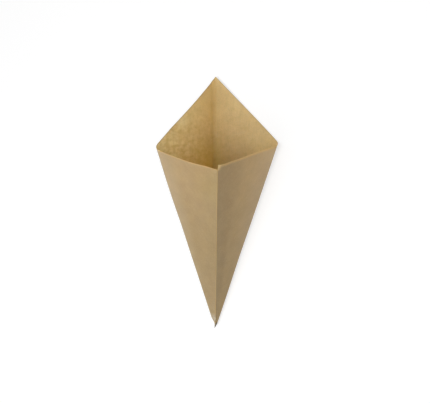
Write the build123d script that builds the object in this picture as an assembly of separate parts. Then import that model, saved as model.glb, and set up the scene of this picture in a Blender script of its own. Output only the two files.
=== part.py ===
from build123d import *
from math import acos, atan, cos, hypot, radians, sin, sqrt
import os

# A paper cone for fries, folded from one square sheet and opened, lying on its back right
# panel. It is drawn standing on its tip: +Z up the cone, the front crease towards -Y, the back
# crease and the peak towards +Y. The last step lays it down on the floor.

# The sheet, in mm and degrees
sheetSide = 180.0  # side of the square, and so the length of the front crease
paperThickness = 0.25
cornerAngle = 90.0  # the sheet's corner that becomes the tip
panelCount = 4  # panels that the corner is folded into
roundingAngle = 1.0  # what each panel's sharp outline needs on top, as the side folds are round

# How far the mouth is opened and the form of each panel, at one height above the tip
gaugeHeight = 180.0
openDepth = 95.0  # front crease to back crease
frontShift = 5.5  # the front crease stands this far to the left
leftFoldRadius = 7.4
rightFoldRadius = 9.5
foldFaces = 3  # faces side by side round a side fold, each turning a part of its bend
frontLeftBulge = 4.4
frontRightHollow = 2.1
backLeftHollow = 2.6
rimFoldRadius = 22.0  # the rim's turn at the side folds, seen from the side

# The glued lap along the front crease: the left edge lies outside, the right one turns in
lapDrop = 2.6  # the outer edge's corner sits this much lower than the right edge's
lapSetback = 0.8  # the right edge shows this far round the crease, above the outer one
flapWidth = 12.0
flapTopGap = 3.6  # the flap's top starts this far below the end of the crease
flapTopSlope = 7.0  # and slopes down by this much over its width
flapTipGap = 8.0  # its lower end is this far above the tip
flapTaper = 30.0  # and widens to the full width over this length

overrun = 10.0  # how far the cutting shapes reach past the paper

halfDepth = openDepth / 2
depthAngle = atan(halfDepth / gaugeHeight)
sharpPanelAngle = radians(cornerAngle / panelCount + roundingAngle)
widthAngle = acos(cos(sharpPanelAngle) / cos(depthAngle))
halfWidth = gaugeHeight * sin(widthAngle) / cos(widthAngle)

frontCorner = Vector(-frontShift, -halfDepth, gaugeHeight)
backCorner = Vector(0, halfDepth, gaugeHeight)
leftCorner = Vector(-halfWidth, 0, gaugeHeight)
rightCorner = Vector(halfWidth, 0, gaugeHeight)

# The rim: the sheet is square at the end of the front crease, so the rim starts out from there
# in the plane across the crease, turns at the side folds and runs straight up to the peak.
creaseDirection = frontCorner.normalized()
foldTop = sheetSide / creaseDirection.Z
peak = backCorner.normalized() * sheetSide * sqrt(2)
topHeight = peak.Z + overrun

# A panel's slope from the axis sets the inside's tip and how far its outline is moved in
panelReach = halfWidth * halfDepth / hypot(halfWidth, halfDepth)
panelSlope = atan(panelReach / gaugeHeight)
outlineInset = paperThickness / cos(panelSlope)
tipRise = paperThickness / sin(panelSlope)

# The front crease's own frame: X across the front left panel from the crease, Y up the crease,
# Z into the cone
inward = (leftCorner - frontCorner).cross(creaseDirection).normalized()
creaseFrame = Plane((0, 0, 0), x_dir=creaseDirection.cross(inward), z_dir=inward)


def cone(layers):
    """The closed cone inside this many layers of paper, from its tip to above the peak."""
    grow = topHeight / gaugeHeight
    front, back, left, right = (
        (grow * corner.X, grow * corner.Y)
        for corner in (frontCorner, backCorner, leftCorner, rightCorner)
    )
    with BuildSketch(Plane.XY.offset(topHeight)) as outline:
        with BuildLine():
            Line(back, right)
            SagittaArc(right, front, -grow * frontRightHollow)
            SagittaArc(front, left, grow * frontLeftBulge)
            SagittaArc(left, back, -grow * backLeftHollow)
        make_face()
        fillet(outline.vertices().sort_by(Axis.X)[0], radius=grow * leftFoldRadius)
        fillet(outline.vertices().sort_by(Axis.X)[-1], radius=grow * rightFoldRadius)
        if layers:
            offset(amount=-layers * outlineInset, kind=Kind.INTERSECTION)
    edges = []
    for edge in outline.sketch.face().outer_wire().edges():
        isFold = edge.geom_type == GeomType.CIRCLE and edge.radius < grow * halfDepth
        faces = foldFaces if isFold else 1
        edges += [edge.trim(face / faces, (face + 1) / faces) for face in range(faces)]
    return Solid.make_loft([Wire(edges), Vertex(0, 0, layers * tipRise)], ruled=True)


def aboveRim():
    """Everything above the rim: its outline from the side, run along the line of the folds' ends."""
    reach = halfDepth * topHeight / gaugeHeight + overrun
    frontSlope = halfDepth / gaugeHeight
    backSlope = (peak.Z - foldTop) / peak.Y
    with BuildSketch(Plane.YZ) as outline:
        with BuildLine():
            Polyline(
                (0, foldTop),
                (-reach, foldTop - frontSlope * reach),
                (-reach, topHeight + reach),
                (reach, topHeight + reach),
                (reach, foldTop + backSlope * reach),
                close=True,
            )
        make_face()
        fillet(outline.vertices().sort_by_distance((0, foldTop))[0], radius=rimFoldRadius)
    acrossFolds = Vector(gaugeHeight, 0, frontShift)
    return extrude(outline.sketch, amount=topHeight, dir=acrossFolds, both=True)


def onFrontLeftPanel(points, outside, inside):
    """A prism through the front left panel, from points across it and up the crease."""
    with BuildSketch(creaseFrame.offset(-outside)) as outline:
        with BuildLine():
            Polyline(*points, close=True)
        make_face()
    return extrude(outline.sketch, amount=outside + inside)


def aboveOuterEdge():
    """The strip that the outer edge lacks, widest at the front crease, none at the side fold."""
    panelWidth = hypot(halfWidth - frontShift, halfDepth) * sheetSide / gaugeHeight
    foldStart = panelWidth - 2 * leftFoldRadius
    points = [
        (lapSetback, sheetSide - lapDrop),
        (foldStart, sheetSide),
        (foldStart, sheetSide + overrun),
        (lapSetback, sheetSide + overrun),
    ]
    return onFrontLeftPanel(points, overrun, 2 * outlineInset)


def flap(inner):
    """The glued flap: the right edge, folded in at the crease against the front left panel."""
    top = sheetSide - flapTopGap
    points = [
        (0, flapTipGap),
        (flapWidth, flapTipGap + flapTaper),
        (flapWidth, top - flapTopSlope),
        (0, top),
    ]
    layer = inner - cone(2)
    return layer & onFrontLeftPanel(points, overrun, 2 * outlineInset)


def paperCone():
    """The folded and glued sheet, standing on its tip."""
    inner = cone(1)
    sheet = cone(0) - inner - aboveRim() - aboveOuterEdge()
    return sheet + flap(inner)


def layDown(part):
    """Lay the cone on its back right panel, tip towards -X, over the middle of its own floor."""
    upward = rightCorner.cross(backCorner).normalized()
    towardsMouth = Vector(0, 0, 1) - upward * upward.Z
    lying = Plane((0, 0, 0), x_dir=towardsMouth, z_dir=upward).to_local_coords(part)
    room = lying.bounding_box()
    return lying.moved(Location((-room.center().X, -room.center().Y, -room.min.Z)))


os.makedirs("parts", exist_ok=True)
export_step(layDown(paperCone()), "parts/fry_cone.step")
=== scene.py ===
from math import cos, pi, radians, sin

import bmesh
import bpy
import numpy as np
from mathutils import Matrix, Vector, geometry, noise


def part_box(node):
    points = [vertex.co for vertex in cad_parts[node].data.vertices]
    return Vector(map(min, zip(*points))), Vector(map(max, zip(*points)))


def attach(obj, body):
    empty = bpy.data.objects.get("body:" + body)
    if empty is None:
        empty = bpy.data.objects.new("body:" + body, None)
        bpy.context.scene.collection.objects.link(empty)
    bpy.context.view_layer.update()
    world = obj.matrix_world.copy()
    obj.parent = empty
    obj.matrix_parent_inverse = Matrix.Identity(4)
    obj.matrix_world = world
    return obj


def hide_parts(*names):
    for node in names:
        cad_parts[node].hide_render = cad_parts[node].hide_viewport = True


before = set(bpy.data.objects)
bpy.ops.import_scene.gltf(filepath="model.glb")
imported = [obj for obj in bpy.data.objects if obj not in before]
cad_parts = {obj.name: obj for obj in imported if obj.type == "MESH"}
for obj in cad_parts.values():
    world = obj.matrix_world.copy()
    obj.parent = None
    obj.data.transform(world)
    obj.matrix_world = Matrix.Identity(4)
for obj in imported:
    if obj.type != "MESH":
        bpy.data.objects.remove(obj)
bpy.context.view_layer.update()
cadLow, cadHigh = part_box("fry_cone")
print("frame loaded")

inMillimetres = 1000.0  # places on the flat sheet and the paper's patterns are in mm
tiny = 1e-9  # keeps divisions at the tip away from zero

# The cone is worked out standing on its tip: Z up the cone, front crease towards -Y, back crease
# towards +Y, left fold towards -X. Cone and camera are then laid down together. Lengths are in
# metres. Angles round the flat sheet are in degrees from the edge that lies outermost at the front
# crease, and places on it in mm from the tip, X along that edge.
cone = {
    "sheetSide": 0.180,  # the square sheet, whose one corner is the tip
    "paperThickness": 0.00025,
    "glueGap": 0.00003,
    "gaugeHeight": 0.180,  # height above the tip at which the mouth's sizes are taken
    "openDepth": 0.095,
    "leftWidth": 0.0592,  # from the middle to each side fold
    "rightWidth": 0.0571,
    "frontShift": 0.0042,  # the front crease stands this far to the left
    "backShift": 0.0022,  # the back crease runs this far left of the sheet's corner
    "leftBend": 0.0065,  # how far from each fold the panels start to bend
    "rightBend": 0.0086,
    "backBend": 0.0034,
    "panels": {  # how far each panel bows outwards, and how much nearer its far end it does
        "frontLeft": (0.0036, 1.0),
        "backLeft": (-0.0024, 1.4),
        "backRight": (0.0019, 2.0),
        "frontRight": (-0.0044, 1.0),
    },

    # the rim: how much lower than a true square it is cut at each angle
    "cuts": [
        (0, 0.00175), (3.5, 0.0009), (8, 0.00115), (13, 0.0013), (20, 0.0013), (23.5, 0.0006),
        (29, 0), (37, 0.0005), (41, 0.0010), (43.7, 0.0015), (45, 0.0001), (50, 0.0003), (61, 0),
        (67.5, 0), (71, 0.0005), (75, 0.0012), (80, 0.0013), (85, 0.0003), (90, 0),
    ],
    "cutEase": 6,  # smoothed over this many tenths of a degree to each side
    "cornerRise": 0.0024,  # how much higher the inner sheet's corner stands at the front crease
    "cornerWidth": 0.016,
    "cornerSetback": 0.0015,  # the corner's own edge stands back from the crease by this much

    # the front crease and the glued flap inside it
    "foldRound": 0.00035,  # how round the front crease is under the lap
    "cornerRound": 0.0048,  # and how much rounder at its free corner
    "cornerRoundLength": 0.0050,
    "roundShare": 0.25,  # it is never rounder than this share of the height
    "flapWidth": 0.012,
    "flapTopGap": 0.0036,
    "flapTopSlope": 0.007,
    "flapTipGap": 0.008,
    "flapTaper": 0.030,

    # the tip
    "layersMeet": 0.003,  # the layers run together below this height
    "insideMeets": 0.02,  # and below this one the inside runs straight to a tip of its own
    "insideSlope": 0.24,  # which is higher by the paper's thickness over this slope
    "pinchTop": 0.0130,  # below this height the tip's left half is pressed in
    "pinchEnd": 0.0050,
    "pinch": 0.58,
    "lean": 0.0006,  # and its end is bent to the left and pushed in a little
    "leanTop": 0.0065,
    "shortened": 0.0008,

    # unevenness of the paper
    "waveSize": 0.036,
    "waveHeight": 0.00030,
    "waveSeed": 0.3,
    "cockleSize": 0.0046,
    "cockleHeight": 0.00007,
    "cockleSeed": 4.7,
    "dryCockles": 0.15,  # share of their height where the sheet stayed dry
    "slackReach": 0.05,  # the paper is tight at the folds, and near the tip up to here
    "slackPower": 0.7,
    # soft ripples run up from the tip: angle, width in degrees, height
    "ripples": [
        (6.5, 2.2, 0.00022), (13.5, 2.6, -0.00022), (29.5, 2.4, 0.00030), (37.0, 2.0, -0.00024),
        (52.0, 2.8, 0.00022), (60.5, 2.4, -0.00022), (75.0, 2.4, -0.00020), (81.0, 2.2, 0.00026),
    ],
    # where damp has cockled the sheet: place, how far it spreads in mm, strength
    "damp": [((154, 100), 42, 1.0), ((176, 78), 26, 0.7), ((118, 150), 34, 0.15)],
    "dampEase": 0.75,  # share of the spread over which it fades
    # a bulge at the left fold and a hollow at the right one: place, how far it spreads, height
    "bulges": [((139, 57), 48, 0.0005), ((32, 77), 58, -0.00036)],

    # how finely the mesh is divided
    "panelPoints": 90,
    "bendPoints": 42,
    "columns": 226,
    "rows": 146,
    "flapColumns": 12,
    "flapEase": 1.5,  # the flap's columns stand closer at the crease
    "bendShare": 0.35,  # share of the columns that goes where the paper turns
    "creaseColumns": 9,
    "creaseSpan": 0.0045,  # finer columns run this far from the front crease
    "creaseClear": 1.1,  # and the others keep this many times as far from it
    "rowEase": 0.6,  # how much closer the rows stand at the rim and the tip
    "weldDistance": 0.000001,
    "sharpEdge": 40,  # degrees
}


def unit(vectors):
    return vectors / np.linalg.norm(vectors, axis=-1, keepdims=True)


def smooth(share):
    share = np.clip(share, 0, 1)
    return share * share * (3 - 2 * share)


def outline():
    # the mouth seen from above, from the front crease round by the left fold, the back crease and
    # the right fold
    half = cone["openDepth"] / 2
    front = np.array([-cone["frontShift"], -half])
    left = np.array([-cone["leftWidth"], 0])
    right = np.array([cone["rightWidth"], 0])
    plainBack = np.array([0, half])
    back = plainBack + unit(plainBack - right) * cone["backShift"]
    corners = [front, left, back, right, front]
    bends = [0, cone["leftBend"], cone["backBend"], cone["rightBend"], 0]
    pieces = []
    for number, (bow, skew) in enumerate(cone["panels"].values()):
        start, end = corners[number], corners[number + 1]
        chord = end - start
        width = np.linalg.norm(chord)
        outward = np.array([-chord[1], chord[0]]) / width
        first = bends[number] / width
        last = 1 - bends[number + 1] / width
        shares = np.linspace(first, last, cone["panelPoints"])[:, None]
        bowed = shares ** skew * (1 - shares) * (skew + 1) ** (skew + 1) / skew ** skew
        panel = start + chord * shares + outward * bow * bowed
        if pieces:
            pieces.append(bend(pieces[-1], panel, corners[number]))
        pieces.append(panel)
    return np.vstack(pieces)


def bend(before, after, corner):
    # a round bend from the end of one panel to the start of the next
    tangents = [unit(before[-1] - before[-2]), unit(after[0] - after[1])]
    turn = np.arccos(-tangents[0] @ tangents[1])
    roundness = 4 / 3 * np.tan(turn / 4) / np.tan(turn / 2)
    knots = []
    for knot, tangent in zip((before[-1], after[0]), tangents):
        reach = roundness * np.linalg.norm(corner - knot)
        knots.append((Vector((*knot, 0)), Vector((*(knot + tangent * reach), 0))))
    (startKnot, startHandle), (endKnot, endHandle) = knots
    handles = (startKnot, startHandle, endHandle, endKnot)
    points = geometry.interpolate_bezier(*handles, cone["bendPoints"])
    return np.array([point[:2] for point in points[1:-1]])


# Directions from the tip through the outline, and how far round the flat sheet each one lies.
# Both sides take 45 degrees of the sheet, measured from its diagonal.
rim = outline()
directions = unit(np.column_stack([rim, np.full(len(rim), cone["gaugeHeight"])]))
steps = np.arccos(np.clip((directions[1:] * directions[:-1]).sum(1), -1, 1))
swept = np.concatenate([[0], np.cumsum(steps)])
cornerDirection = unit(np.array([0, cone["openDepth"] / 2, cone["gaugeHeight"]]))
cornerAt = swept[np.argmax(directions @ cornerDirection)]
flatAngle = np.where(
    swept < cornerAt,
    swept / cornerAt * pi / 4,
    pi / 2 - (swept[-1] - swept) / (swept[-1] - cornerAt) * pi / 4,
)
faceNormals = unit(np.cross(directions[:-1], directions[1:]))
faceAngles = (flatAngle[1:] + flatAngle[:-1]) / 2


def sampled(angles, samples, at):
    return np.stack([np.interp(at, angles, samples[:, axis]) for axis in range(3)], axis=-1)


def outwardAt(angle):
    return unit(sampled(faceAngles, faceNormals, angle))


def noiseOver(angle, reach, size, seed):
    # smooth noise over the flat sheet, the same in every run
    places = zip((reach * np.cos(angle) / size).ravel(), (reach * np.sin(angle) / size).ravel())
    return np.array([noise.noise((x, y, seed)) for x, y in places]).reshape(angle.shape)


def awayFrom(place, angle, reach):
    # how far each point of the sheet is from a place on it
    x, y = place
    aside = reach * np.cos(angle) * inMillimetres - x
    upwards = reach * np.sin(angle) * inMillimetres - y
    return np.hypot(aside, upwards)


def reliefAt(angle, reach):
    # how far the paper stands out from the plain cone
    rise = np.zeros(angle.shape)
    for middle, width, height in cone["ripples"]:
        away = (np.degrees(angle) - middle) / width
        rise += height * reach / cone["sheetSide"] * np.exp(-away * away)
    fromFolds = np.abs(np.sin(2 * len(cone["panels"]) * angle)) ** cone["slackPower"]
    slack = fromFolds * smooth(reach / cone["slackReach"])
    waves = noiseOver(angle, reach, cone["waveSize"], cone["waveSeed"])
    rise += cone["waveHeight"] * slack * waves
    damp = np.zeros(angle.shape)
    for place, spread, strength in cone["damp"]:
        away = awayFrom(place, angle, reach)
        damp += strength * smooth((spread - away) / (cone["dampEase"] * spread))
    for place, spread, height in cone["bulges"]:
        rise += height * smooth(1 - awayFrom(place, angle, reach) / spread)
    cockles = noiseOver(angle, reach, cone["cockleSize"], cone["cockleSeed"])
    return rise + cone["cockleHeight"] * cockles * (damp + cone["dryCockles"]) * slack


def surfaceAt(angle, reach):
    plain = unit(sampled(flatAngle, directions, angle)) * reach[..., None]
    return plain + outwardAt(angle) * reliefAt(angle, reach)[..., None]


def columnAngles():
    # columns stand closer where the paper turns, and on both sides of the front crease
    turns = np.arccos(np.clip((faceNormals[1:] * faceNormals[:-1]).sum(1), -1, 1))
    turned = np.concatenate([[0], np.cumsum(turns), [turns.sum()]])
    measure = flatAngle / flatAngle[-1] * (1 - cone["bendShare"])
    measure = measure + turned / turned[-1] * cone["bendShare"]
    even = np.interp(np.linspace(0, 1, cone["columns"]), measure, flatAngle)
    span = cone["creaseSpan"] / cone["sheetSide"]
    close = np.linspace(0, span, cone["creaseColumns"] + 1)
    clear = span * cone["creaseClear"]
    even = even[(even > clear) & (even < pi / 2 - clear)]
    even[np.argmin(np.abs(even - pi / 4))] = pi / 4  # the sheet's far corner stays sharp
    return np.concatenate([close, even, pi / 2 - close[::-1]])


def rowShares():
    even = np.linspace(0, 1, cone["rows"] + 1)
    return even - cone["rowEase"] * np.sin(2 * pi * even) / (2 * pi)


def squareReach(angle):
    return cone["sheetSide"] / np.maximum(np.cos(angle), np.sin(angle))


def rimReach(angle):
    # how far the sheet's edge is from the tip: it is cut a little unevenly, and the inner sheet's
    # corner stands higher
    past = 2  # degrees that the samples run past both ends of the sheet
    perDegree = 10
    ease = cone["cutEase"]
    fine = np.linspace(-past, 90 + past, (90 + 2 * past) * perDegree + 1)
    rough = np.interp(fine, *np.array(cone["cuts"]).T)
    window = np.hanning(2 * ease + 1)
    eased = np.convolve(np.pad(rough, ease, mode="edge"), window / window.sum(), mode="valid")
    reach = squareReach(angle) - np.interp(np.degrees(angle), fine, eased)
    fromCrease = (pi / 2 - angle) * cone["sheetSide"]
    return reach + cone["cornerRise"] * np.clip(1 - fromCrease / cone["cornerWidth"], 0, 1) ** 2


def flapWidths(reach):
    top = cone["sheetSide"] - cone["flapTopGap"]
    fromTop = (top - reach) / cone["flapTopSlope"]
    fromTip = (reach - cone["flapTipGap"]) / cone["flapTaper"]
    return cone["flapWidth"] * np.clip(np.minimum(fromTop, fromTip), 0, 1)


def cornerEdge(reach):
    # how far the free corner's own edge stands back from the crease
    start = cone["sheetSide"] - cone["flapTopGap"]
    length = cone["flapTopGap"] + cone["cornerRise"]
    return cone["cornerSetback"] * np.clip((reach - start) / length, 0, 1)


def turnedOver(distance, reach):
    # the right sheet close to the front crease, where it turns over into the flap: distance from
    # the crease is above zero on the panel and below zero on the flap
    layer = (cone["paperThickness"] + cone["glueGap"]) * smooth(reach / cone["layersMeet"])
    top = cone["sheetSide"] + cone["cornerRise"]
    opened = smooth(1 - (top - reach) / cone["cornerRoundLength"])
    wanted = cone["foldRound"] + cone["cornerRound"] * opened
    radius = np.minimum(wanted, cone["roundShare"] * reach + tiny)
    away = np.arctan2(radius, np.maximum(reach, tiny))
    far = np.hypot(radius, reach)
    flapSide = outwardAt(away)
    panelSide = outwardAt(pi / 2 - away)
    flapPoint = surfaceAt(away, far) - flapSide * layer[..., None]
    panelPoint = surfaceAt(pi / 2 - away, far)
    crease = surfaceAt(np.full_like(reach, pi / 2), reach)
    leftSide = outwardAt(np.array([0.0]))[0]
    rightSide = outwardAt(np.array([pi / 2]))[0]
    tuck = unit(np.cross(directions[-1], rightSide))
    tuck = tuck * np.sign(tuck @ (directions[-2] - directions[-1]))
    depth = layer / abs(tuck @ leftSide)
    corner = crease + tuck * depth[..., None]
    share = ((distance + radius) / (2 * radius))[..., None]
    point = (1 - share) ** 2 * flapPoint + 2 * share * (1 - share) * corner + share ** 2 * panelPoint
    side = unit((1 - share) * flapSide + share * panelSide)
    return point, side, radius


def fourPanels(angles, shares):
    # outside of the paper round the cone, the way it faces, and its place on the flat sheet
    reach = rimReach(angles)[:, None] * shares
    angle = np.repeat(angles[:, None], len(shares), axis=1)
    distance = reach * (pi / 2 - angle)
    rightHalf = angle > pi / 4
    pull = np.clip(1 - distance / cone["flapTopGap"], 0, 1) ** 2
    distance = distance + cornerEdge(reach) * pull * rightHalf
    angle = np.where(rightHalf, pi / 2 - distance / np.maximum(reach, tiny), angle)
    angle[:, 0] = angles
    outer = surfaceAt(angle, reach)
    side = outwardAt(angle)
    point, turnedSide, radius = turnedOver(distance, reach)
    close = (rightHalf & (distance < radius))[..., None]
    outer = np.where(close, point, outer)
    side = np.where(close, turnedSide, side)
    flat = np.stack([np.cos(angle), np.sin(angle)], -1) * (squareReach(angle) * shares)[..., None]
    return outer, side, flat


def gluedFlap(crease):
    # the flap goes on from the right edge, inside the front left panel
    along = np.linspace(0, 1, cone["flapColumns"] + 1)[1:, None]
    across = along ** cone["flapEase"] * flapWidths(crease)
    distance = cornerEdge(crease) - across
    creaseReach = np.repeat(crease[None], len(across), axis=0)
    reach = np.hypot(across, creaseReach)
    angle = np.arctan2(across, creaseReach + tiny)
    side = outwardAt(angle)
    outer = surfaceAt(angle, reach) - side * (cone["paperThickness"] + cone["glueGap"])
    point, turnedSide, radius = turnedOver(distance, creaseReach)
    close = (distance > -radius)[..., None]
    outer = np.where(close, point, outer)
    side = np.where(close, turnedSide, side)
    return outer, side, np.stack([distance, creaseReach], axis=-1)


def pressTip(points):
    # the tip's left half is pressed in towards the crease, and its end is bent to the left
    height = points[..., 2]
    depth = (cone["pinchTop"] - height) / (cone["pinchTop"] - cone["pinchEnd"])
    crease = -cone["frontShift"] / cone["gaugeHeight"] * height
    across = points[..., 0] - crease
    amount = cone["pinch"] * smooth(depth) * smooth(height / cone["layersMeet"])
    pressed = np.where(across < 0, across * (1 - amount), across)
    near = smooth(1 - height / cone["leanTop"])
    across = crease + pressed - cone["lean"] * near
    return np.stack([across, points[..., 1], height + cone["shortened"] * near], axis=-1)


def standingCone():
    # outside and inside of the paper by columns and rows, and each place on the flat sheet
    angles = columnAngles()
    shares = rowShares()
    crease = rimReach(angles)[-1] * shares
    panels = fourPanels(angles, shares)
    flap = gluedFlap(crease)
    outer, side, flat = [np.vstack(both) for both in zip(panels, flap)]
    inner = outer - side * cone["paperThickness"]

    # near the tip the inside of the paper meets before the outside does
    apex = np.array([0, 0, cone["paperThickness"] / cone["insideSlope"]])
    room = np.clip(1 - crease / cone["insideMeets"], 0, 1)[None, :, None]
    straight = apex + (inner[:, -1:] - apex) * shares[None, :, None]
    inner = inner * (1 - room) + straight * room
    return pressTip(outer), pressTip(inner), flat


def quads(first, second, third, fourth):
    return np.stack([first, second, third, fourth], -1).reshape(-1, 4)


def coneFaces(columns, rows):
    # faces of the outside, the inside and the cut edges
    count = columns * rows
    grid = np.arange(count).reshape(columns, rows)
    outside = quads(grid[:-1, :-1], grid[1:, :-1], grid[1:, 1:], grid[:-1, 1:])
    inside = outside[:, ::-1] + count
    edges = []
    for starts, ends in (
        (grid[:-1, -1], grid[1:, -1]),
        (grid[0, :-1], grid[0, 1:]),
        (grid[-1, 1:], grid[-1, :-1]),
    ):
        edges.append(quads(starts, ends, ends + count, starts + count))
    return outside, inside, np.vstack(edges)


def laidDown():
    # the turn that puts the back right panel on the floor, tip towards -X
    right = Vector((cone["rightWidth"], 0, cone["gaugeHeight"]))
    back = Vector((0, cone["openDepth"] / 2, cone["gaugeHeight"]))
    upward = right.cross(back).normalized()
    towardsMouth = Vector((0, 0, 1)) - upward * upward.z
    towardsMouth.normalize()
    return Matrix((towardsMouth, upward.cross(towardsMouth), upward))


def layOnFloor(points, turn):
    # the cone lies in the middle of the solid's box, and as low as it
    points = points @ np.array(turn).T
    low = points.min(0)
    high = points.max(0)
    shift = np.array([
        (cadLow.x + cadHigh.x - low[0] - high[0]) / 2,
        (cadLow.y + cadHigh.y - low[1] - high[1]) / 2,
        cadLow.z - low[2],
    ])
    return points + shift, shift


def closeSheet(mesh):
    # points that coincide at the tip and at the flap's ends become one, and faces look outwards
    work = bmesh.new()
    work.from_mesh(mesh)
    bmesh.ops.remove_doubles(work, verts=work.verts, dist=cone["weldDistance"])
    bmesh.ops.recalc_face_normals(work, faces=work.faces)
    work.to_mesh(mesh)
    work.free()
    mesh.shade_smooth()
    mesh.set_sharp_from_angle(angle=radians(cone["sharpEdge"]))


def buildCone(papers):
    outer, inner, flat = standingCone()
    turn = laidDown()
    standingPoints = np.vstack([outer.reshape(-1, 3), inner.reshape(-1, 3)])
    points, shift = layOnFloor(standingPoints, turn)
    faceSets = coneFaces(*outer.shape[:2])
    mesh = bpy.data.meshes.new("paperCone")
    mesh.from_pydata(points.tolist(), [], np.vstack(faceSets).tolist())
    slots = np.repeat(range(len(papers)), [len(faces) for faces in faceSets])
    mesh.polygons.foreach_set("material_index", slots)
    for paper in papers:
        mesh.materials.append(paper)

    flatSheet = mesh.uv_layers.new(name="flatSheet")
    bothSides = np.vstack([flat.reshape(-1, 2)] * 2)
    loops = np.zeros(len(mesh.loops), int)
    mesh.loops.foreach_get("vertex_index", loops)
    flatSheet.uv.foreach_set("vector", bothSides[loops].astype(np.float32).ravel())

    closeSheet(mesh)
    piece = bpy.data.objects.new("paperCone", mesh)
    bpy.context.scene.collection.objects.link(piece)
    return piece, Matrix.Translation(shift) @ turn.to_4x4()


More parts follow.
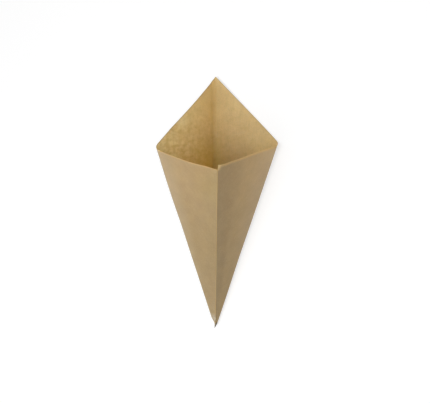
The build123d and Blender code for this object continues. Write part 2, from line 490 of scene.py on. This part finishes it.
# Sizes, places and heights above the tip are in mm on the flat sheet, and angles round it in
# degrees. "Rightwards" is Y - X there. A depth or strength is the share of a tone that is laid over
# the paper, and where a line gives two heights or angles the tone changes from one to the other.
kraft = {
    "outside": {
        "colour": (0.487, 0.349, 0.176),
        # soft areas of painted shade and painted light: place, how far it spreads, strength, tone
        "paintedShadeAndLight": [
            ((98, 12), 62, 0.18, (0.300, 0.210, 0.065)),
            ((162, 7), 24, 0.30, (0.500, 0.360, 0.110)),
            ((66, 178), 19, 0.60, (0.670, 0.475, 0.235)),
        ],
        "folds": (22.5, 67.5),  # painted light makes the side folds paler and greyer, where the paper turns away at the cone's sides
        "shadeLinedFolds": (22.5,),  # and a line of painted shade runs along this one
        "foldLight": (0.590, 0.515, 0.395),
        "edge": (0.800, 0.530, 0.190),  # the cut edges are rubbed pale, with a painted highlight where the rims catch the light
        "edgeDepth": 0.72,
        # how many times narrower at the left rim, the right rim and the raw edge
        "edgeShares": (2.4, 1.0, 7.6),
    },
    "inside": {
        # painted light: the same paper as the outside, painted far paler for the light that reaches
        # into the cone
        "colour": (0.793, 0.576, 0.270),
        # painted shade deep in the cone beside the back crease, and painted light on the panels and
        # at the rim
        "paintedShadeAndLight": [
            ((143, 106), 34, 0.25, (0.360, 0.265, 0.055)),
            ((126, 112), 30, 0.34, (0.720, 0.530, 0.000)),
            ((122, 143), 32, 0.20, (0.360, 0.265, 0.085)),
            ((84, 152), 36, 0.18, (1.000, 0.710, 0.280)),
            ((170, 130), 30, 0.18, (0.950, 0.700, 0.330)),
            ((150, 127), 27, 0.17, (0.360, 0.270, 0.120)),
            ((178, 113), 9, 0.75, (1.000, 0.760, 0.440)),
        ],
        # painted light along the left fold inside
        "folds": (22.5,),
        "shadeLinedFolds": (),
        "foldLight": (0.790, 0.680, 0.400),
        "edge": (0.270, 0.265, 0.215),  # the inside is shaded along its edges
        "edgeDepth": 0.58,
        "edgeShares": (2.4, 3.0, 7.6),
    },
    "cutEdge": (0.640, 0.510, 0.330),

    # patterns of noise: size along and across, direction, how finely broken up
    "clouds": (11.0, 11.0, 0.0, 3.0),
    "streaks": (9.0, 0.7, radians(45), 2.0),  # the fibres run up the sheet's diagonal
    "grain": (0.45, 0.45, 0.0, 3.0),
    "mottle": (4.1, 5.8, radians(34), 1.0),
    "fibres": (1.9, 0.24, radians(45), 1.0),
    "noiseRoughness": 0.55,
    "noiseSpan": (0.3, 0.7),  # nearly all noise lies between these values
    # how much a pattern lightens and darkens the paper
    "levelDepths": {"clouds": 0.050, "streaks": 0.035, "grain": 0.090},

    # loose fibres: how far they turn off the diagonal in radians, strength, tone
    "looseFibres": [
        (0.5, 0.28, (0.300, 0.195, 0.090)),
        (-0.7, 0.28, (0.300, 0.195, 0.090)),
        (-0.3, 0.24, (0.700, 0.570, 0.380)),
        (0.9, 0.24, (0.700, 0.570, 0.380)),
    ],
    "fibreSpan": (0.64, 0.74),  # they show where the noise is higher than this

    # the inside: painted light makes its right half a little paler, and damp has mottled it, its
    # spots also painting the light and shade of the cockles
    "rightHalfLight": (0.850, 0.577, 0.272),
    "rightHalfLightRightwards": (-6.0, 12.0),
    # place, how far it spreads, strength
    "mottled": [((156, 98), 55, 1.0), ((176, 78), 30, 0.5), ((112, 150), 60, 0.34)],
    "mottleCore": 0.25,  # share of each spread that has the full strength
    "mottleDepth": 0.60,
    "paleMottle": (0.950, 0.735, 0.375),
    "darkMottle": (0.610, 0.425, 0.140),

    # and painted shade darkens it along the back crease, in a wide stripe and a thin line
    "paintedCreaseShade": (0.360, 0.265, 0.045),
    "deepRightwards": -4.0,
    "deepWidth": 35.35,  # rightwards too, to each side
    "deepDepths": (0.27, 0.15),
    "deepHeights": (165, 218),
    "lineAngle": 44.3,
    "lineWidths": (0.2, 1.1),
    "lineDepth": 0.17,
    "lineEnds": (245, 230),

    # painted light: the outside is paler towards the right fold, less so towards the tip
    "rightFoldLight": 0.17,
    "rightFoldLightAngles": [((85, 78), (-0.55, 0.55)), ((78, 69), (0.0, 0.55))],
    "rightFoldLightFrom": (52, 66),
    "rightFoldLightHeights": (20, 175),
    "rightFoldLightShares": (0.32, 1.0),
    "tipTone": -0.075,  # and all of it darker towards the tip
    "tipToneHeights": (60, 165),

    # wear, painted light and painted shade at the folds, the cut edges and the tip
    "foldLightWidths": (1, 9),
    "foldLightDepth": 0.27,
    "foldLightHeights": (20, 120),
    "foldShadeLine": (0.340, 0.315, 0.260),
    "foldShadeWidths": (0.8, 2.2),
    "foldShadeDepth": 0.20,
    "edgeWidth": 2.6,  # at an edge whose share is 1
    "cornerHighlight": (0.840, 0.610, 0.290),  # a painted highlight on the free corner at the front crease
    "cornerHighlightReach": (2.5, 6.2),
    "crushedAndLit": (6.0, 21.0),  # the pressed tip is paler between these heights, crushed and with painted light where it turns to the light
    "crushedLitTone": (0.640, 0.540, 0.400),
    "crushedLitDepth": 0.75,
    "crushedLitRightwards": (-4.0, 0.0),
    # the tip's very end is dark with grime and painted shade
    "tipGrimeAndShade": (0.110, 0.090, 0.060),
    "tipDarkHeights": (5.0, 6.6),
    "tipDarkSlant": 0.3,  # it reaches higher on the right
    "tipDarkDepth": 0.92,

    # the surface
    "roughness": (0.66, 0.78),
    "specular": 0.35,
    "sheen": 0.10,
    "sheenRoughness": 0.5,
    "subsurface": 0.9,
    "scatter": 0.0007,  # how far light travels in the paper, in metres
    "scatterColour": (1.0, 0.93, 0.82),
    "reliefHeight": 0.00005,  # in metres
    "reliefStrength": 0.6,
    "streakRelief": 0.8,  # the streaks stand this much as high as the grain
}


def addNode(tree, kind, inputs, **settings):
    # one shader node; an input is a plain value or the socket that drives it
    made = tree.nodes.new("ShaderNode" + kind)
    for name, value in settings.items():
        setattr(made, name, value)
    for name, value in inputs.items():
        if isinstance(value, bpy.types.NodeSocket):
            tree.links.new(value, made.inputs[name])
        else:
            made.inputs[name].default_value = value
    return made


def combine(tree, first, second, operation="MULTIPLY"):
    return addNode(tree, "Math", {0: first, 1: second}, operation=operation).outputs[0]


def rescale(tree, value, limits, results):
    (low, high), (atLow, atHigh) = limits, results
    inputs = {"Value": value, "From Min": low, "From Max": high, "To Min": atLow, "To Max": atHigh}
    return addNode(tree, "MapRange", inputs).outputs["Result"]


def eitherSide(tree, value, middle):
    # how far a value is from the middle, to either side
    return combine(tree, combine(tree, value, middle, "SUBTRACT"), 0.0, "ABSOLUTE")


def layOver(tree, shade, amount, tone):
    # a plain tone laid over the paper
    mixed = addNode(tree, "Mix", {0: amount, 6: shade, 7: (*tone, 1)}, data_type="RGBA")
    return mixed.outputs[2]


def inRadians(angles):
    return tuple(radians(angle) for angle in angles)


def onSheet(tree):
    # where a point of the paper lies on the flat sheet, and the measures that follow from it
    flat = addNode(tree, "UVMap", {}, uv_map="flatSheet").outputs["UV"]
    scaled = addNode(tree, "VectorMath", {0: flat, "Scale": inMillimetres}, operation="SCALE")
    place = scaled.outputs["Vector"]
    parts = addNode(tree, "SeparateXYZ", {"Vector": place})
    x = parts.outputs["X"]
    y = parts.outputs["Y"]
    return {
        "place": place,
        "x": x,
        "y": y,
        "rightwards": combine(tree, y, x, "SUBTRACT"),
        "around": combine(tree, y, x, "ARCTAN2"),
        "height": addNode(tree, "VectorMath", {0: place}, operation="LENGTH").outputs["Value"],
    }


def nearPlace(tree, sheet, centre, limits, strength):
    # full strength inside the first distance from a place on the sheet, none beyond the second
    inputs = {0: sheet["place"], 1: (*centre, 0)}
    away = addNode(tree, "VectorMath", inputs, operation="DISTANCE").outputs["Value"]
    return rescale(tree, away, limits, (strength, 0.0))


def pattern(tree, sheet, name, shift, turn=0.0):
    # one of the paper's patterns; each shift gives other noise of the same kind
    along, across, direction, detail = kraft[name]
    inputs = {"Vector": sheet["place"], "Angle": -(direction + turn)}
    turned = addNode(tree, "VectorRotate", inputs, rotation_type="Z_AXIS")
    moved = addNode(tree, "Mapping", {
        "Vector": turned.outputs["Vector"],
        "Scale": (1 / along, 1 / across, 1),
        "Location": (shift, shift / 2, shift / 3),
    })
    noiseNode = addNode(tree, "TexNoise", {
        "Vector": moved.outputs["Vector"], "Scale": 1.0, "Detail": detail,
        "Roughness": kraft["noiseRoughness"],
    })
    return noiseNode.outputs["Fac"]


def paperLevel(tree, patterns):
    # how light the plain paper is, from its clouds, streaks and grain
    level = 1.0
    for name, depth in kraft["levelDepths"].items():
        tone = rescale(tree, patterns[name], kraft["noiseSpan"], (1 - depth, 1 + depth))
        level = combine(tree, level, tone)
    return level


def mottledInside(tree, sheet, colour, shift):
    # the inside's colour: painted light makes it paler on the right, with pale and dark spots where
    # damp got at it, which also paint the cockles' light and shade
    onRight = rescale(tree, sheet["rightwards"], kraft["rightHalfLightRightwards"], (0.0, 1.0))
    shade = layOver(tree, (*colour, 1), onRight, kraft["rightHalfLight"])
    spots = pattern(tree, sheet, "mottle", shift)
    low, high = kraft["noiseSpan"]
    middle = (low + high) / 2
    for centre, spread, strength in kraft["mottled"]:
        near = nearPlace(tree, sheet, centre, (kraft["mottleCore"] * spread, spread), strength)
        near = combine(tree, near, kraft["mottleDepth"])
        pale = rescale(tree, spots, (middle, high), (0.0, 1.0))
        shade = layOver(tree, shade, combine(tree, near, pale), kraft["paleMottle"])
        dark = rescale(tree, spots, (middle, low), (0.0, 1.0))
        shade = layOver(tree, shade, combine(tree, near, dark), kraft["darkMottle"])
    return shade


def outsideLightAndTipTone(tree, sheet, level):
    # the outside's level: painted light makes it higher towards the right fold, and it is lower
    # towards the tip
    rightFoldLights = []
    for angles, amounts in kraft["rightFoldLightAngles"]:
        rightFoldLights.append(rescale(tree, sheet["around"], inRadians(angles), amounts))
    rightFoldLight = combine(tree, *rightFoldLights, "ADD")
    kept = combine(
        tree,
        rescale(tree, sheet["around"], inRadians(kraft["rightFoldLightFrom"]), (0.0, 1.0)),
        rescale(tree, sheet["height"], kraft["rightFoldLightHeights"], kraft["rightFoldLightShares"]),
    )
    rightFoldLight = combine(tree, combine(tree, rightFoldLight, kept), kraft["rightFoldLight"])
    nearTip = rescale(tree, sheet["height"], kraft["tipToneHeights"], (kraft["tipTone"], 0.0))
    drift = combine(tree, rightFoldLight, nearTip, "ADD")
    return combine(tree, level, combine(tree, drift, 1.0, "ADD"))


def paintShadeAndLight(tree, sheet, shade, side):
    # soft areas of painted shade and painted light laid over the paper
    for centre, spread, strength, tone in kraft[side]["paintedShadeAndLight"]:
        near = nearPlace(tree, sheet, centre, (0.0, spread), strength)
        shade = layOver(tree, shade, near, tone)
    return shade


def paintCreaseShade(tree, sheet, shade):
    # painted shade: a wide stripe and a thin line along the back crease
    stripe = eitherSide(tree, sheet["rightwards"], kraft["deepRightwards"])
    stripe = rescale(tree, stripe, (0.0, kraft["deepWidth"]), (1.0, 0.0))
    upwards = rescale(tree, sheet["height"], kraft["deepHeights"], kraft["deepDepths"])
    shade = layOver(tree, shade, combine(tree, stripe, upwards), kraft["paintedCreaseShade"])
    line = eitherSide(tree, sheet["around"], radians(kraft["lineAngle"]))
    line = rescale(tree, line, inRadians(kraft["lineWidths"]), (kraft["lineDepth"], 0.0))
    upwards = rescale(tree, sheet["height"], kraft["lineEnds"], (0.0, 1.0))
    return layOver(tree, shade, combine(tree, line, upwards), kraft["paintedCreaseShade"])


def paintFoldLightAndShade(tree, sheet, shade, side):
    # the painted light along the side folds fades out towards the tip
    upwards = rescale(tree, sheet["height"], kraft["foldLightHeights"], (0.0, 1.0))
    widths = inRadians(kraft["foldLightWidths"])
    for fold in kraft[side]["folds"]:
        beside = eitherSide(tree, sheet["around"], radians(fold))
        foldLight = rescale(tree, beside, widths, (kraft["foldLightDepth"], 0.0))
        shade = layOver(tree, shade, combine(tree, foldLight, upwards), kraft[side]["foldLight"])
        if fold in kraft[side]["shadeLinedFolds"]:
            limits = inRadians(kraft["foldShadeWidths"])
            line = rescale(tree, beside, limits, (kraft["foldShadeDepth"], 0.0))
            shade = layOver(tree, shade, line, kraft["foldShadeLine"])
    return shade


def looseFibres(tree, sheet, shade, shift):
    for number, (turn, strength, tone) in enumerate(kraft["looseFibres"]):
        fibres = pattern(tree, sheet, "fibres", shift + number, turn)
        amount = rescale(tree, fibres, kraft["fibreSpan"], (0.0, strength))
        shade = layOver(tree, shade, amount, tone)
    return shade


def edgeWearAndPaintedLight(tree, sheet, shade, side):
    # outside, rubbed pale with a painted highlight, and inside, painted shade, along the two rims
    # and the raw edge at the front crease, and outside a painted highlight at the free corner
    whole = cone["sheetSide"] * inMillimetres
    leftShare, rightShare, rawShare = kraft[side]["edgeShares"]
    left = combine(tree, combine(tree, whole, sheet["x"], "SUBTRACT"), leftShare)
    right = combine(tree, combine(tree, whole, sheet["y"], "SUBTRACT"), rightShare)
    raw = combine(tree, sheet["y"], rawShare)
    near = combine(tree, combine(tree, left, right, "MINIMUM"), raw, "MINIMUM")
    wearAndLight = rescale(tree, near, (0.0, kraft["edgeWidth"]), (kraft[side]["edgeDepth"], 0.0))
    shade = layOver(tree, shade, wearAndLight, kraft[side]["edge"])
    if side == "outside":
        wearAndLight = nearPlace(tree, sheet, (0, whole), kraft["cornerHighlightReach"], 1.0)
        shade = layOver(tree, shade, wearAndLight, kraft["cornerHighlight"])
    return shade


def tipMarksAndPaintedLight(tree, sheet, shade):
    # paler where the tip is pressed, crushed and with painted light, and dark at its very end with
    # grime and painted shade
    lowest, highest = kraft["crushedAndLit"]
    crushedAndLit = eitherSide(tree, sheet["height"], (lowest + highest) / 2)
    limits = (0.0, (highest - lowest) / 2)
    crushedAndLit = rescale(tree, crushedAndLit, limits, (kraft["crushedLitDepth"], 0.0))
    onLeft = rescale(tree, sheet["rightwards"], kraft["crushedLitRightwards"], (1.0, 0.0))
    shade = layOver(tree, shade, combine(tree, crushedAndLit, onLeft), kraft["crushedLitTone"])
    slant = combine(tree, sheet["rightwards"], kraft["tipDarkSlant"])
    slanted = combine(tree, sheet["height"], slant, "SUBTRACT")
    grimeAndShade = rescale(tree, slanted, kraft["tipDarkHeights"], (kraft["tipDarkDepth"], 0.0))
    return layOver(tree, shade, grimeAndShade, kraft["tipGrimeAndShade"])


def finishSurface(tree, shader, patterns):
    rough = rescale(tree, patterns["grain"], kraft["noiseSpan"], kraft["roughness"])
    tree.links.new(rough, shader.inputs["Roughness"])
    streaks = combine(tree, patterns["streaks"], kraft["streakRelief"])
    relief = addNode(tree, "Bump", {
        "Height": combine(tree, patterns["grain"], streaks, "ADD"),
        "Strength": kraft["reliefStrength"], "Distance": kraft["reliefHeight"],
    })
    tree.links.new(relief.outputs["Normal"], shader.inputs["Normal"])
    shader.inputs["Specular IOR Level"].default_value = kraft["specular"]
    shader.inputs["Sheen Weight"].default_value = kraft["sheen"]
    shader.inputs["Sheen Roughness"].default_value = kraft["sheenRoughness"]
    shader.inputs["Subsurface Weight"].default_value = kraft["subsurface"]
    shader.inputs["Subsurface Radius"].default_value = kraft["scatterColour"]
    shader.inputs["Subsurface Scale"].default_value = kraft["scatter"]


def kraftPaper(name, colour, side, seed):
    # kraft paper with the wear, painted light and painted shade of one side of the sheet; the seed
    # sets its noise apart
    material = bpy.data.materials.new(name)
    material.use_nodes = True
    tree = material.node_tree
    shader = tree.nodes["Principled BSDF"]
    sheet = onSheet(tree)
    patterns = {
        "clouds": pattern(tree, sheet, "clouds", seed + 1),
        "streaks": pattern(tree, sheet, "streaks", seed + 2),
        "grain": pattern(tree, sheet, "grain", seed + 3),
    }
    level = paperLevel(tree, patterns)
    if side == "inside":
        colour = mottledInside(tree, sheet, colour, seed + 4)
    else:
        level = outsideLightAndTipTone(tree, sheet, level)
    tinted = addNode(tree, "VectorMath", {0: colour, "Scale": level}, operation="SCALE")
    shade = paintShadeAndLight(tree, sheet, tinted.outputs["Vector"], side)
    if side == "inside":
        shade = paintCreaseShade(tree, sheet, shade)
    shade = paintFoldLightAndShade(tree, sheet, shade, side)
    shade = looseFibres(tree, sheet, shade, seed + 5)
    shade = edgeWearAndPaintedLight(tree, sheet, shade, side)
    shade = tipMarksAndPaintedLight(tree, sheet, shade)
    tree.links.new(shade, shader.inputs["Base Color"])
    finishSurface(tree, shader, patterns)
    return material


papers = [
    kraftPaper("kraftOutside", kraft["outside"]["colour"], "outside", 0.0),
    kraftPaper("kraftInsidePaintedLight", kraft["inside"]["colour"], "inside", 20.0),
    kraftPaper("cutEdge", kraft["cutEdge"], "outside", 40.0),
]
paperCone, standing = buildCone(papers)
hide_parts("fry_cone")
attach(paperCone, "root")
print("paper cone built")

view = {
    # angles in degrees, against the standing cone
    "elevation": 14.53,  # the view looks down on it by this much
    "turn": 3.67,
    "roll": -1.04,
    "distance": 0.540,
    "aimHeight": 0.1188,  # the middle of the picture, up the cone and then across and up the view
    "aimAcross": -0.00266,
    "aimUp": 0.01336,
    "lens": 47.36,
    "nearest": 0.01,  # nothing nearer than this is drawn
}


def placeCamera():
    elevation = radians(view["elevation"])
    turn = radians(view["turn"])
    roll = radians(view["roll"])
    ahead = Vector((sin(turn) * cos(elevation), cos(turn) * cos(elevation), -sin(elevation)))
    right = Vector((cos(turn), -sin(turn), 0))
    up = right.cross(ahead)
    aim = Vector((0, 0, view["aimHeight"])) + right * view["aimAcross"] + up * view["aimUp"]
    axes = Matrix((
        right * cos(roll) - up * sin(roll),
        right * sin(roll) + up * cos(roll),
        -ahead,
    )).transposed()
    camera = bpy.data.cameras.new("camera")
    camera.lens = view["lens"]
    camera.clip_start = view["nearest"]
    holder = bpy.data.objects.new("camera", camera)
    place = Matrix.Translation(aim - ahead * view["distance"])
    holder.matrix_world = standing @ (place @ axes.to_4x4())
    bpy.context.scene.collection.objects.link(holder)
    bpy.context.scene.camera = holder


placeCamera()
print("camera placed")

studio = {
    "floorSize": 4.0,
    "floorDepth": 0.0002,  # the floor lies just under the paper
    "floorColour": 0.9,
    "seenColour": 0.45,  # the camera sees a floor of this grey that glows, with the shadow on it
    "seenGlow": 0.66,
    "worldLevel": 0.24,
    "lamps": {  # direction from the cone, power in watts
        "overhead": ((0.0, 0.0, 1.0), 4.2),
        "highLeft": ((-0.4, 0.3, 0.86), 5.0),
        "lowFront": ((0.0, -0.866, 0.5), 2.0),
    },
    "lampSize": 0.8,
    "lampDistance": 1.2,
}


def cameraRays(tree):
    # one for the camera, mirrors and glass, and zero for light that falls on the object
    rays = addNode(tree, "LightPath", {})
    seen = combine(tree, rays.outputs["Is Camera Ray"], rays.outputs["Is Glossy Ray"], "MAXIMUM")
    return combine(tree, seen, rays.outputs["Is Transmission Ray"], "MAXIMUM")


def lightWorld():
    world = bpy.data.worlds.new("studio")
    world.use_nodes = True
    bpy.context.scene.world = world
    tree = world.node_tree
    level = rescale(tree, cameraRays(tree), (0.0, 1.0), (studio["worldLevel"], 1.0))
    tree.links.new(level, tree.nodes["Background"].inputs["Color"])


def floorWhite():
    material = bpy.data.materials.new("floorWhite")
    material.use_nodes = True
    tree = material.node_tree
    shader = tree.nodes["Principled BSDF"]
    seen = cameraRays(tree)
    colours = (studio["floorColour"], studio["seenColour"])
    tree.links.new(rescale(tree, seen, (0.0, 1.0), colours), shader.inputs["Base Color"])
    glow = rescale(tree, seen, (0.0, 1.0), (0.0, studio["seenGlow"]))
    tree.links.new(glow, shader.inputs["Emission Strength"])
    shader.inputs["Emission Color"].default_value = (1, 1, 1, 1)
    shader.inputs["Roughness"].default_value = 1.0
    shader.inputs["Specular IOR Level"].default_value = 0.0
    return material


def layFloor():
    half = studio["floorSize"] / 2
    corners = [(-half, -half), (half, -half), (half, half), (-half, half)]
    mesh = bpy.data.meshes.new("floor")
    mesh.from_pydata([(x, y, -studio["floorDepth"]) for x, y in corners], [], [(0, 1, 2, 3)])
    mesh.materials.append(floorWhite())
    floor = bpy.data.objects.new("floor", mesh)
    bpy.context.scene.collection.objects.link(floor)


def hangLamps():
    for name, (direction, power) in studio["lamps"].items():
        lamp = bpy.data.lights.new(name, "AREA")
        lamp.shape = "DISK"
        lamp.size = studio["lampSize"]
        lamp.energy = power
        holder = bpy.data.objects.new(name, lamp)
        holder.location = Vector(direction).normalized() * studio["lampDistance"]
        holder.rotation_euler = holder.location.to_track_quat("Z", "Y").to_euler()
        bpy.context.scene.collection.objects.link(holder)


lightWorld()
layFloor()
hangLamps()
bpy.context.scene.view_settings.view_transform = "Standard"
print("studio lit")
